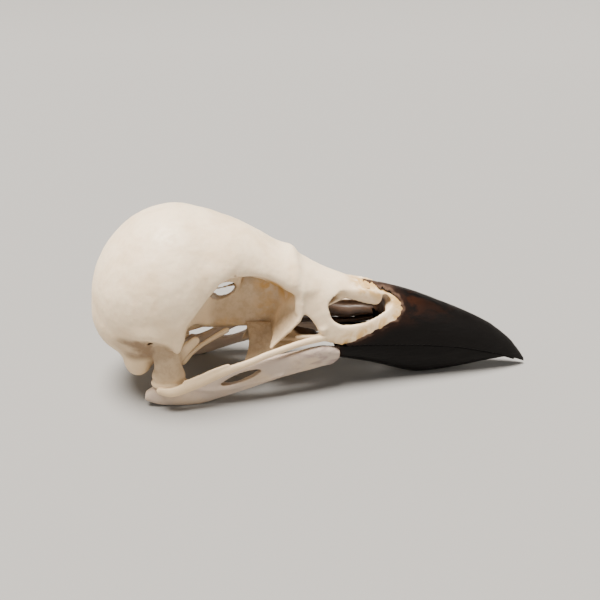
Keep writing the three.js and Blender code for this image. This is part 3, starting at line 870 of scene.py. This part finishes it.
class SKULL_OT_skull_bone(bpy.types.Operator):
    """Braincase, eye sockets and the bare upper jaw, shaped as one bone and parted at the hinge"""

    bl_idname = "skull.skull_bone"
    bl_label = "Skull bone"

    def execute(self, context):
        sizes = context.scene.braincase
        radii = Vector((sizes.length, sizes.width, sizes.height))
        vault = {"centre": (14.9, 0, 22), "pitch": -0.98, "around": 96, "rings": 64}
        piece = self.head(sizes, radii, vault)
        add_forms(piece, [taken(self.nose()), *self.plates(sizes), *self.scrolls()])
        remesh(piece, sizes.detail)
        torn = raw_object("torn", [ball(**SEPTUM_HOLE), *self.bites(sizes.rim_bites)])
        remesh(torn, TEAR_DETAIL)
        combine(piece, taken(torn))
        strand = rod([(21.8, 0, 20.1, 0.4, 0.32), (25.4, 0, 20.5, 0.3, 0.26), (29.2, 0, 21.6, 0.4, 0.32)])
        add_forms(piece, [strand])
        remesh(piece, sizes.detail)
        keep_largest(piece)
        soften(piece, 4)
        self.crease(piece)
        roughen(piece, sizes.relief, 3.2)
        roughen(piece, sizes.relief * 0.35, 0.9, 5.0)
        note_recess_shade(piece)
        jaw = front_part(piece, "upper_jaw_bone")
        note_edge(jaw, ragged_edge(0.2), 3.4)
        finish_piece(piece, materials()[0], "skull_bone", "cranium")
        finish_piece(jaw, materials()[0], "skull_bone", "upper_jaw")
        return {"FINISHED"}

    def head(self, sizes, radii, vault):
        """The braincase and forehead with everything that is hollowed out of them."""
        mass = [
            ball(radii=radii, fullness=2.05, **vault),
            ball((12.4, 0, 17.2), (12.3, 13.2, 9.6), 2.2),
            ball((12.5, 0, 10.6), (7.5, 7.6, 3.3)),
            self.forehead(),
            *both_sides(ball((13.2, 9.4, 17), (6.6, 5.9, 5.6))),
            *both_sides(ball((9.1, 8.6, 10.0), (2.9, 2.5, 4.0), around=40, rings=26)),
        ]
        piece = raw_object("cranium_bone", mass)
        remesh(piece, sizes.detail * 1.4)
        for form in both_sides(ball((10.2, 15.4, 13.4), (6.8, 3.6, 3.0))):
            combine(piece, form)
        remesh(piece, sizes.detail * 1.3)
        soften(piece, 22)
        for form in both_sides(ball(radii=SOCKET_RADII, **SOCKET)):
            combine(piece, form)
        combine(piece, ball((25.4, 0, 4.3), (9.2, 15, 8.9), 2.6))
        for form in both_sides(ball((21, 10, 10.4), (5.2, 9, 5.5))):
            combine(piece, form)
        rim = rod([(26.6, 10.5, 26.5, 0.7, 0.7), (23.4, 11.4, 25.2, 1.0, 1.0), (20.6, 13.0, 22.5, 1.15, 1.15),
                   (18.0, 13.7, 19.6, 1.3, 1.4), (16.9, 13.3, 17, 1.4, 1.7), (16.8, 13.5, 15, 1.0, 1.25),
                   (16.9, 13.8, 12.9, 0.5, 0.6)], 24, 60, True)
        add_forms(piece, both_sides(rim))
        remesh(piece, sizes.detail * 1.1)
        soften(piece, 9)
        self.hollow_out(piece, sizes, radii, vault)
        return piece

    def crease(self, piece):
        """The bending line across the forehead, with a low swelling on each side of it."""
        bm = bmesh.new()
        bm.from_mesh(piece.data)
        bm.normal_update()
        for v in bm.verts:
            if v.co.z > 23.5 and abs(v.co.x - 40.4) < 4 and v.normal.z > -0.2:
                wander = 0.25 * noise.noise(v.co / 2)
                groove = math.exp(-(((v.co.x - 40.5 - wander) / 0.42) ** 2))
                swell = math.exp(-(((v.co.x - 39.3 - wander) / 0.8) ** 2))
                v.co += v.normal * (0.08 * swell - 0.05 * groove)
        bm.to_mesh(piece.data)
        bm.free()

    def forehead(self):
        """The roof between the eye sockets, with a shallow dip along its middle."""

        def section(x, turn):
            y = forehead_half(x) * math.cos(turn)
            if math.sin(turn) <= 0:
                return y, socket_rim_z(x) + 1.5 * math.sin(turn)
            rise = forehead_top(x) - socket_rim_z(x)
            dip = 0.45 * math.exp(-((y / 2.4) ** 2)) * eased(x, 28, 33) * (1 - eased(x, 37, 39))
            return y, socket_rim_z(x) + rise * math.sin(turn) - dip

        return loft(spaced(14, 46, 66), 88, section)

    def hollow_out(self, piece, sizes, radii, vault):
        """The room for the brain, with the openings that lead into it."""
        wall = Vector((1, 1, 1)) * sizes.wall
        inner = raw_object("brain_room", [ball(radii=radii - wall, fullness=2.05, **vault)])
        for form in both_sides(ball(radii=SOCKET_RADII + wall, **SOCKET)):
            combine(inner, form)
        combine(inner, ball((25.4, 0, 4.3), (10.2, 16, 9.9), 2.6))
        combine(inner, ball((12, 0, 5), (16, 20, 6.4)))
        combine(piece, taken(inner))
        combine(piece, rod([(-1, 0, 6.2, 2.4, 2.6), (4, 0, 10.2, 2.5, 2.6), (9, 0, 14, 2.4, 2.4)]))

    def plates(self, sizes):
        """The wall between the sockets with the bar under it, the neck joint and the front plates."""

        def middle_wall(u, v):
            return Vector((20 + 18.8 * u, 0, 12.4 + (13 - 2.5 * u) * v))

        septum = sheet(middle_wall, sizes.septum, 30, 20)
        root_line = [(35.4, 0, 12.7, 1.0, 0.8), (36.7, 0, 16.6, 1.1, 0.9), (38.2, 0, 21.2, 1.6, 1.1)]
        root = rod(root_line, upright=True)
        rostrum = rod([(15, 0, 11.6, 3, 1.8), (19.5, 0, 13.2, 1.9, 1.2), (25, 0, 12.9, 1.2, 1),
                       (34, 0, 13, 0.9, 0.9), (39, 0, 13.1, 0.5, 0.6)])
        condyle = ball((5.9, 0, 7.6), (1.4, 1.4, 1.3), around=28, rings=18)
        return [septum, root, rostrum, condyle, *both_sides(self.lacrimal())]

    def lacrimal(self):
        """The plate in front of each eye socket, from the septum out to a foot above the cheek bar."""
        foot_z = smooth_value([(0, 12.6), (0.5, 12.3), (0.85, 10.9), (1, 10.7)])

        def surface(u, v):
            z = foot_z(u) + (22.6 - foot_z(u)) * v
            y = u * (8.9 - 0.9 * v)
            forward = 4.6 * u ** 1.7 * min(1, max(0, (z - 11) / 6.6))
            fold = 0.3 * math.sin(u * 9) * v * (1 - v)
            past = 36.8 + 0.38 * (z - 17) + forward + fold - 40.5
            return Vector((40.5 - 0.5 * math.log(1 + math.exp(-past / 0.5)), y, z))

        return sheet(surface, 0.7, 40, 40)

    def bites(self, count):
        """Small torn gaps along the top rim of each eye socket."""
        chance = random.Random(11)
        rim = smooth_path([(24.6, 12.0, 24.9), (25.8, 11.6, 25.7), (27.2, 10.9, 26.1), (28.9, 10.1, 26.2)])
        forms = []
        for i in range(count):
            x, y, z = rim((i + chance.uniform(0.3, 0.7)) / count)
            size = chance.uniform(0.4, 0.65)
            place = (x, y, z + chance.uniform(0.0, 0.3))
            forms += both_sides(ball(place, (size * 0.7, 1.6, size), around=16, rings=10))
        return forms

    def nose(self):
        """Bare bone of the upper beak round the nostrils."""
        piece = raw_object("upper_jaw_bone", [upper_beak(0.06)])
        under_horn = [(x + 1.3, z - 0.9) for x, z in HORN_EDGE[2:-1]]
        bare_bone = [(39, 34), (57, 34), *under_horn, (46, 7), (39, 7)]
        combine(piece, prism(bare_bone, *THROUGH_HEAD), "INTERSECT")
        combine(piece, nose_hollow())
        combine(piece, prism(closed_outline(NOSTRIL), *THROUGH_BEAK))
        combine(piece, prism(CHEEK_WINDOW, *THROUGH_BEAK))
        under_cheek = [(37, 3), (47.6, 3), (47.6, 10.9), (45.4, 11.5), (43.5, 11.75), (37, 11.9)]
        combine(piece, prism(under_cheek, *THROUGH_BEAK))
        add_forms(piece, both_sides(ball((44.8, 7.7, 14.3), (1.2, 0.9, 0.8), around=28, rings=18)))
        return piece

    def scrolls(self):
        """Curled plates that hang in the nostrils, with the shelves under them and a lining sheet below that,
        which carries the painted shade of the nose.
        """
        scroll = rod([(45.6, 3.0, 20.9, 1.0, 1.0), (50.5, 3.6, 20.1, 0.7, 1.35),
                      (54.5, 3.5, 19.15, 0.6, 1.65), (57.5, 3.0, 18.4, 0.55, 1.5)], 20, 60)
        shelf = rod([(43.5, 3.6, 17.4, 1.6, 0.55), (47, 3.2, 18.4, 1.4, 0.55), (50, 2.9, 19.5, 0.9, 0.5)])

        # The lining is a sheet put in the nose floor to hold the painted shade there
        def lining(u, v):
            x = 44.8 + 12.6 * u
            return Vector((x, 2.5 + (beak_half(x) - 3.4) * v, 12.3 + 0.6 * v + 0.2 * math.sin(u * 9)))

        return [*both_sides(scroll), *both_sides(shelf), *both_sides(sheet(lining, 0.7, 30, 10))]


class SKULL_OT_beak_horn(bpy.types.Operator):
    """Black horn of the upper and lower beak"""

    bl_idname = "skull.beak_horn"
    bl_label = "Beak horn"

    def execute(self, context):
        sizes = context.scene.beak
        horn = materials()[2]
        upper = raw_object("upper_horn", [upper_beak(0.06 - sizes.horn_proud)])
        edges = ragged_edge(sizes.ragged), ragged_edge(sizes.ragged, 9.0)
        for edge, side in zip(edges, ((-15, 0.01), (-0.01, 15))):
            combine(upper, prism([(38, 24.5), *edge, (46, 4), (38, 4)], *side))
        combine(upper, nose_hollow())
        remesh(upper, sizes.horn_detail)
        keep_largest(upper)
        soften(upper, 5)
        self.growth_lines(upper, sizes.growth)
        note_edge(upper, edges[0][1:-4], 2.6)
        finish_piece(upper, horn, "beak_horn", "upper_beak_horn")

        lower = raw_object("lower_horn", [self.lower_form(sizes.gape)])
        combine(lower, self.between_arms())
        jaw_end = [(45, 5.6), (46.6, 6.3), (48.1, 7.5), (48.5, 8.8), (47.6, 9.9), (45, 10.6)]
        combine(lower, prism(closed_outline(jaw_end), *THROUGH_BEAK))
        floor = [(40, FLOOR_HEIGHT), (95, FLOOR_HEIGHT), (95, -5), (40, -5)]
        combine(lower, prism(floor, *THROUGH_HEAD))
        remesh(lower, sizes.horn_detail)
        keep_largest(lower)
        soften(lower, 5)
        self.growth_lines(lower, sizes.growth)
        note_edge(lower, [(JAW_END_X + 0.6, z) for z in spaced(5.5, 10.5, 30)], 2.0)
        finish_piece(lower, horn, "beak_horn", "lower_beak_horn")
        return {"FINISHED"}

    def growth_lines(self, piece, height):
        """Faint lines along the horn, and slow swells across it."""
        bm = bmesh.new()
        bm.from_mesh(piece.data)
        bm.normal_update()
        for v in bm.verts:
            fine = noise.fractal(Vector((v.co.x / 9, v.co.y * 1.1, v.co.z * 1.1)), 0.9, 2.0, 3)
            slow = noise.noise(Vector((v.co.x / 3.5, v.co.y / 6, v.co.z / 6)))
            v.co += v.normal * (height * fine + height * 1.2 * slow)
            v.co.z = max(v.co.z, FLOOR_HEIGHT)
            v.co.x = min(v.co.x, BEAK_TIP_X)
        bm.to_mesh(piece.data)
        bm.free()

    def lower_form(self, gape):
        """The lower beak as one solid form under the edges of the upper one."""

        def section(x, turn):
            top = tomium_z(x) - gape
            half = max(0.2, beak_half(x) - 0.6)
            low = min(gonys_z(x), top - 0.5)
            arm = top - low if math.sin(turn) < 0 else 0.05
            return half * signed_power(math.cos(turn), 0.8), top + arm * signed_power(math.sin(turn), 0.75)

        return loft([*spaced(JAW_END_X, 86, 70), *spaced(86.4, 89.2, 8)], 72, section)

    def between_arms(self):
        """The room between the two arms of the lower beak."""

        def section(x, turn):
            half = max(0.3, (beak_half(x) - 2.9) * math.sqrt(max(0, (67.5 - x) / 18)))
            return half * signed_power(math.cos(turn), 0.6), 5 + 9 * signed_power(math.sin(turn), 0.6)

        return loft(spaced(44, 67, 30), 40, section)


class SKULL_OT_lower_jaw(bpy.types.Operator):
    """The two bone arms of the lower jaw, each with its window"""

    bl_idname = "skull.lower_jaw"
    bl_label = "Lower jaw"

    def execute(self, context):
        detail = context.scene.beak.detail
        low = smooth_value([(10.2, 1.9), (12, 1), (15, 0.45), (20.5, 0.45), (24.7, 1.5), (29, 2.8), (34, 4.2),
                            (39, 5.4), (44, 6.1), (47.2, 6.5), (48.6, 7.6)])
        high = smooth_value([(10.2, 3.3), (12, 4.4), (15, 5), (19, 5), (22, 6), (25, 7.7), (28, 8.9),
                             (34, 9.7), (39, 10.2), (44, 10.8), (47.2, 10.2), (48.6, 9.3)])
        middle = smooth_value([(10.2, 10.4), (15, 10.2), (22, 10.4), (29, 10.4), (36, 9.6), (42, 8.7),
                               (JAW_END_X, 7.4), (48.6, 7.0)])
        thick = smooth_value([(10.2, 0.9), (13, 1.6), (17, 1.7), (21, 1.2), (26, 0.85), (34, 0.85),
                              (42, 0.95), (48.6, 0.9)])

        def section(x, turn):
            bow = 0.25 * math.sin(turn * 2) * eased(x, 20, 26)
            y = middle(x) + thick(x) * signed_power(math.cos(turn), 0.75) + bow
            return y, (low(x) + high(x)) / 2 + (high(x) - low(x)) * signed_power(math.sin(turn), 0.75) / 2

        spur = rod([(15, 10, 2.7, 1.8, 1.6), (15.2, 8, 3, 1.3, 1.1), (15.6, 6.2, 3.6, 0.6, 0.6)])
        heel = rod([(13, 10.4, 2.4, 1.3, 1.2), (11, 10.6, 2.5, 1.0, 1.0), (10.3, 10.7, 2.9, 0.6, 0.6)])
        ridge = rod([(18, 11.4, 4.6, 0.5), (24, 11.2, 3.7, 0.45), (31, 10.9, 4.6, 0.3),
                     (37, 10.3, 6.0, 0.25)])
        arm = loft(spaced(10.2, 48.4, 90), 40, section)
        piece = raw_object("jaw_left_bone", [arm, spur, heel, ridge])
        remesh(piece, detail)
        combine(piece, prism(closed_outline(JAW_WINDOW), 6, 14))
        floor = [(5, FLOOR_HEIGHT), (50, FLOOR_HEIGHT), (50, -5), (5, -5)]
        combine(piece, prism(floor, *THROUGH_HEAD))
        remesh(piece, detail)
        keep_largest(piece)
        soften(piece, 4)
        roughen(piece, 0.05, 2.0, 4.0)
        for v in piece.data.vertices:
            v.co.z = max(v.co.z, FLOOR_HEIGHT)
        note_recess_shade(piece, 3.0)
        other = mirror_object(piece, "jaw_right_bone")
        finish_piece(piece, materials()[1], "jaw_bone", "mandible_left")
        finish_piece(other, materials()[1], "jaw_bone", "mandible_right")
        return {"FINISHED"}


class SKULL_OT_cheeks_and_palate(bpy.types.Operator):
    """Quadrates, cheek bars, rods and palate halves, in pairs"""

    bl_idname = "skull.cheeks_and_palate"
    bl_label = "Cheeks and palate"

    def execute(self, context):
        detail = context.scene.beak.detail
        for name, node, forms, rounds in (
            ("quadrate", "quadrate", self.quadrate(), 9),
            ("cheek_bar", "jugal", self.cheek_bar(), 4),
            ("palate_half", "palatine", self.palate_half(), 7),
            ("palate_rod", "pterygoid", self.palate_rod(), 3),
        ):
            piece = raw_object(f"{name}_left", forms)
            remesh(piece, detail * 0.8)
            keep_largest(piece)
            soften(piece, rounds)
            roughen(piece, 0.04, 1.6, 6.0)
            note_recess_shade(piece, 3.0)
            other = mirror_object(piece, f"{name}_right")
            finish_piece(piece, materials()[0], "skull_bone", f"{node}_left")
            finish_piece(other, materials()[0], "skull_bone", f"{node}_right")
        return {"FINISHED"}

    def quadrate(self):
        """The block that carries the lower jaw, with its knuckles and its spur into the socket."""
        body = rod([(14.3, 11.2, 15.6, 1.9, 3.0), (14.6, 11.3, 12.4, 1.7, 2.7), (14.9, 11.3, 9.4, 1.5, 2.6),
                    (14.9, 11.2, 7.2, 1.6, 3.2), (14.8, 11, 5.0, 1.9, 3.3)], 28, 50, True)
        knuckles = ball((14.8, 10.5, 5.5), (3.4, 2.7, 1.1), around=40, rings=24)
        spur = rod([(15.6, 10.6, 9.6, 1.3, 2), (18, 9.2, 11.7, 0.8, 1.3), (20.7, 7.8, 13.2, 0.5, 0.9)])
        knuckle = rod([(15.4, 9.8, 7.6, 1.4, 1.4), (16.8, 8.6, 8, 0.9, 0.9)])
        return [body, knuckles, spur, knuckle]

    def cheek_bar(self):
        """The thin bar from the jaw joint to the upper beak."""
        bar = rod([(12.6, 13.2, 5.3, 0.5, 0.7), (15.6, 13.7, 5, 0.6, 1.0), (19.4, 13.4, 6.2, 0.5, 1.15),
                   (23.4, 12.9, 7.7, 0.5, 1.05), (26.6, 12.5, 8.75, 0.5, 0.85), (30, 12, 9.7, 0.5, 0.72),
                   (34, 11.1, 10.9, 0.5, 0.7), (40, 9.4, 12.1, 0.55, 0.7), (43.6, 8.35, 12.4, 0.55, 0.75),
                   (47, 7.2, 12.5, 0.5, 0.7)], 16, 90)
        ridge = rod([(17.6, 13.4, 6.7, 0.3, 0.4), (20.2, 13.3, 7.5, 0.35, 0.5), (23.6, 12.9, 8.9, 0.32, 0.45),
                     (26.4, 12.5, 9.75, 0.22, 0.3)])
        return [bar, ridge]

    def palate_half(self):
        """A flat shelf in front and a wing that slopes down from the middle bar behind it."""
        inner = smooth_value([(36, 2), (42, 2.9), (46, 3), (57.4, 2.2)])
        outer = smooth_value([(36, 5.6), (40, 5.8), (44, 4.9), (50, 4.2), (57.4, 3.3)])
        shelf_z = smooth_value([(36, 11.3), (40, 11.3), (50, 11), (57.4, 11.6)])
        ridge_z = smooth_value([(29, 13.2), (34, 13.2), (38, 12.7), (44, 11.5)])
        keel_z = smooth_value([(29, 6.3), (32, 6.9), (38, 9), (44, 10.9)])

        def shelf(u, v):
            x = 36 + 21.4 * u
            return Vector((x, inner(x) + (outer(x) - inner(x)) * v, shelf_z(x)))

        def wing(u, v):
            rear = 30 + 0.8 * math.sin(math.pi * v) - 0.6 * v
            x = rear + (44 - rear) * u
            y = 0.9 + 1.6 * u + (4.4 - 1.2 * u) * v ** 0.7
            wave = 0.25 * math.sin(u * 7 + v * 4) * v * (1 - v)
            return Vector((x, y + wave, ridge_z(x) + (keel_z(x) - ridge_z(x)) * v))

        return [sheet(shelf, 0.8, 60, 8), sheet(wing, 0.75, 44, 28)]

    def palate_rod(self):
        """The short rod from the jaw joint in to the palate."""
        line = [(17.0, 8.5, 8.3, 0.8, 0.8), (20.5, 5.7, 10.3, 0.45, 0.5), (26.6, 1.8, 12.2, 0.55, 0.65)]
        return [rod(line)]


class SKULL_OT_stage(bpy.types.Operator):
    """Pale floor, soft lights and the camera at the photograph's angle"""

    bl_idname = "skull.stage"
    bl_label = "Stage"

    def execute(self, context):
        stage = context.scene.stage
        self.floor(stage)
        self.camera(stage)
        self.lights(stage)
        return {"FINISHED"}

    def floor(self, stage):
        """A wide round floor that rises all round, far from the skull. Its sizes are in metres."""
        bm = bmesh.new()
        flat, bend, wall = 1.2, 0.8, 3.0
        turns = spaced(0, math.pi / 4, 12)
        curve = [(flat + bend * math.sin(turn), bend - bend * math.cos(turn)) for turn in turns]
        end = curve[-1]
        profile = [(0, 0), (0.3, 0), (0.7, 0), *curve, (end[0] + wall, end[1] + wall)]
        last = None
        for x, z in profile:
            vert = bm.verts.new((x, 0, z))
            if last:
                bm.edges.new((last, vert))
            last = vert
        profile_parts = [*bm.verts, *bm.edges]
        bmesh.ops.spin(bm, geom=profile_parts, cent=(0, 0, 0), axis=(0, 0, 1), angle=2 * math.pi,
                       steps=96, use_merge=True)
        bmesh.ops.remove_doubles(bm, verts=bm.verts, dist=1e-5)
        bmesh.ops.recalc_face_normals(bm, faces=bm.faces)
        if next(iter(bm.faces)).normal.z < 0:
            bmesh.ops.reverse_faces(bm, faces=bm.faces)
        mesh = bpy.data.meshes.new("floor")
        bm.to_mesh(mesh)
        bm.free()
        for polygon in mesh.polygons:
            polygon.use_smooth = True
        floor = bpy.data.objects.new("floor", mesh)
        bpy.context.scene.collection.objects.link(floor)
        material, shader = new_material("studio floor")
        shader.inputs["Base Color"].default_value = (*stage.floor, 1)
        shader.inputs["Roughness"].default_value = 0.85
        mesh.materials.append(material)

    def camera(self, stage):
        sin, cos = math.sin, math.cos
        level_share = cos(stage.rise)
        forward = Vector((sin(stage.turn) * level_share, cos(stage.turn) * level_share, -sin(stage.rise)))
        level = Vector((cos(stage.turn), -sin(stage.turn), 0))
        over = level.cross(forward)
        right = level * cos(stage.tilt) + over * sin(stage.tilt)
        up = over * cos(stage.tilt) - level * sin(stage.tilt)
        middle = Vector((45 - BACK_TO_MIDDLE, 0, 15 - FLOOR_HEIGHT))
        eye = middle - right * stage.across - up * stage.over - forward * stage.distance
        data = bpy.data.cameras.new("camera")
        film_width = 36
        data.sensor_width = film_width
        data.sensor_fit = "HORIZONTAL"
        data.lens = film_width / 2 / math.tan(stage.view_angle / 2)
        data.clip_start = 0.005
        camera = bpy.data.objects.new("camera", data)
        axes = Matrix((right, up, -forward)).transposed().to_4x4()
        camera.matrix_world = Matrix.Translation(eye / MM_PER_METRE) @ axes
        bpy.context.scene.collection.objects.link(camera)
        bpy.context.scene.camera = camera

    def lights(self, stage):
        """A high soft light, a weak one from the front right of the picture, and a faint sky."""
        key = bpy.data.lights.new("key", "SUN")
        key.energy = stage.key_power
        key.angle = math.radians(32)
        key.color = (1.0, 0.945, 0.87)
        fill = bpy.data.lights.new("fill", "AREA")
        fill.shape = "DISK"
        fill.size = 0.35
        fill.energy = stage.key_power * 0.02
        fill.color = (0.94, 0.97, 1.0)
        middle = Vector((0, 0, 0.015))
        for light, place in ((key, (-0.12, -0.02, 0.6)), (fill, (0.40, -0.42, 0.30))):
            lamp = bpy.data.objects.new(light.name, light)
            lamp.location = place
            lamp.rotation_euler = (middle - Vector(place)).to_track_quat("-Z", "Y").to_euler()
            bpy.context.scene.collection.objects.link(lamp)
        world = bpy.data.worlds.new("studio")
        world.use_nodes = True
        background = world.node_tree.nodes["Background"]
        background.inputs["Color"].default_value = (0.9, 0.92, 0.95, 1)
        background.inputs["Strength"].default_value = 0.05
        bpy.context.scene.world = world


class SKULL_PT_panel(bpy.types.Panel):
    """Lists the pieces of the skull and their settings"""

    bl_idname = "SKULL_PT_panel"
    bl_label = "Rook Skull"
    bl_space_type = "VIEW_3D"
    bl_region_type = "UI"
    bl_category = "Rook Skull"

    def draw(self, context):
        layout = self.layout
        for operator in OPERATORS:
            layout.operator(operator.bl_idname)
        for name, group in GROUPS.items():
            box = layout.box()
            box.label(text=group.__name__)
            for field in group.__annotations__:
                box.prop(getattr(context.scene, name), field)


GROUPS = {
    "braincase": BraincaseSizes,
    "beak": BeakSizes,
    "bone_finish": BoneFinish,
    "horn_finish": HornFinish,
    "stage": StageSettings,
}
OPERATORS = (
    SKULL_OT_skull_bone,
    SKULL_OT_beak_horn,
    SKULL_OT_lower_jaw,
    SKULL_OT_cheeks_and_palate,
    SKULL_OT_stage,
)


def register():
    for group in GROUPS.values():
        bpy.utils.register_class(group)
    for operator in (*OPERATORS, SKULL_PT_panel):
        bpy.utils.register_class(operator)
    for name, group in GROUPS.items():
        setattr(bpy.types.Scene, name, PointerProperty(type=group))


def unregister():
    for name in GROUPS:
        delattr(bpy.types.Scene, name)
    for operator in reversed((*OPERATORS, SKULL_PT_panel)):
        bpy.utils.unregister_class(operator)
    for group in reversed(GROUPS.values()):
        bpy.utils.unregister_class(group)


def main():
    register()
    bpy.ops.skull.stage()
    bpy.ops.skull.skull_bone()
    bpy.ops.skull.beak_horn()
    bpy.ops.skull.lower_jaw()
    bpy.ops.skull.cheeks_and_palate()


if __name__ == "__main__":
    main()
